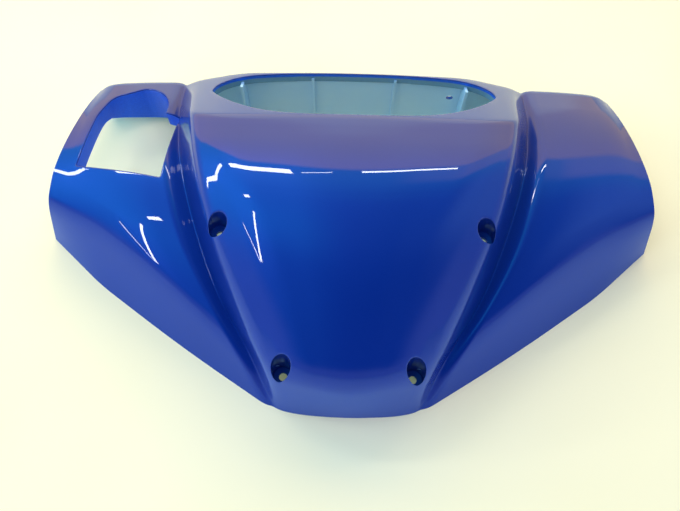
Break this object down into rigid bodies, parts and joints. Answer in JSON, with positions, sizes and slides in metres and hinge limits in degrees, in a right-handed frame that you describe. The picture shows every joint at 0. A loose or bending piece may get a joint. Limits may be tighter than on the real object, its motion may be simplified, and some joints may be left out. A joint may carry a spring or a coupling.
{
  "type": "scooter handlebar cover",
  "caption": "One-piece moulded front cover for a scooter handlebar, with an opening for the meter, swept wings, a window in one wing and recessed screw seats.",
  "frame": {"origin": "middle of the open back, on the plane of the rear rim that the cover rests on", "axes": "+X along the handlebar towards the wing without the window, +Y towards the cover's upper edge and the meter, +Z out of the front face"},
  "size_m": [0.426, 0.2324, 0.1173],
  "materials": {
    "painted_shell": "metallic blue paint under clear gloss lacquer"
  },
  "bodies": {
    "root": {"handlebar_cover": "painted_shell"}
  },
  "joints": []
}
